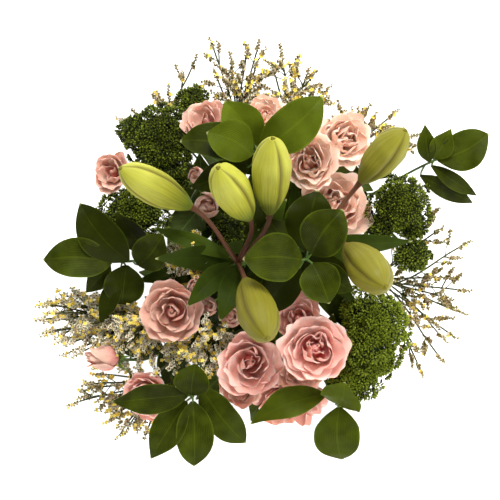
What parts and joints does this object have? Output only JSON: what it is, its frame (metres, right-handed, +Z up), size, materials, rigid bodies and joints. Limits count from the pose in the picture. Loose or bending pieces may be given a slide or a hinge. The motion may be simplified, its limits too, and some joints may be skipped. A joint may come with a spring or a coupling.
{
  "type": "flower bouquet",
  "caption": "Round hand-tied flower bouquet of spray roses, lily buds, ruscus, trachelium and statice on spiralled stems in a twine tie; stands on its cut ends.",
  "frame": {"origin": "on the floor plane of the cut stem ends, under the middle of the bouquet's bounding box", "axes": "+Z up along the axis of the tied stems; +X to the right and +Y to the top of the picture, which looks straight down; the bunch is widest along X"},
  "size_m": [0.4218, 0.4036, 0.4038],
  "materials": {
    "lily_bud": "satin, thick waxy petals still shut, yellow green with brown grooves",
    "lily_green": "satin, fleshy green stalks, stem and leaves",
    "ruscus": "glossy, leathery dark green leaves with fine lengthwise veins",
    "rose_petal_deep": "matte, soft petals, salmon to deep pink",
    "rose_petal_pale": "matte, soft petals, pale peach pink",
    "rose_green": "matte, green stems, hips, sepals and leaves",
    "trachelium": "matte, packed small green florets",
    "statice": "matte, dry papery cream and yellow florets on thin green stalks",
    "twine": "matte, twisted natural jute"
  },
  "bodies": {
    "root": {"lily_bud_west": "lily_bud", "lily_bud_northwest": "lily_bud", "lily_bud_north": "lily_bud", "lily_bud_northeast": "lily_bud", "lily_bud_east": "lily_bud", "lily_bud_south": "lily_bud", "lily_stem_west": "lily_green", "lily_stem_east": "lily_green", "ruscus_north": "ruscus", "ruscus_west": "ruscus", "ruscus_centre": "ruscus", "ruscus_southwest": "ruscus", "ruscus_southeast": "ruscus", "ruscus_east": "ruscus", "rose_northwest": "rose_petal_deep", "rose_far_west": "rose_petal_deep", "rose_left": "rose_petal_deep", "rose_lower_middle": "rose_petal_deep", "rose_middle": "rose_petal_deep", "rose_best": "rose_petal_deep", "rose_under_best": "rose_petal_deep", "rose_far_south": "rose_petal_deep", "rose_south": "rose_petal_deep", "rose_southwest": "rose_petal_deep", "rose_bud_far_southwest": "rose_petal_deep", "rose_bud_heart": "rose_petal_deep", "rose_bud_heart_low": "rose_petal_deep", "rose_bud_heart_south": "rose_petal_deep", "rose_bud_northwest": "rose_petal_deep", "rose_bud_dark": "rose_petal_deep", "rose_north": "rose_petal_pale", "rose_northeast": "rose_petal_pale", "rose_upper_right": "rose_petal_pale", "rose_right": "rose_petal_pale", "rose_stem_west": "rose_green", "rose_stem_south": "rose_green", "rose_stem_northwest": "rose_green", "rose_stem_northeast": "rose_green", "rose_stem_east": "rose_green", "rose_stem_far_south": "rose_green", "rose_stem_far_southwest": "rose_green", "rose_stem_north": "rose_green", "trachelium_northwest": "trachelium", "trachelium_west": "trachelium", "trachelium_heart": "trachelium", "trachelium_east": "trachelium", "trachelium_southeast": "trachelium", "statice_north": "statice", "statice_north_right": "statice", "statice_northwest": "statice", "statice_northeast": "statice", "statice_east": "statice", "statice_west": "statice", "statice_southwest": "statice", "statice_heart": "statice", "statice_far_southwest": "statice", "twine_tie": "twine"}
  },
  "joints": []
}
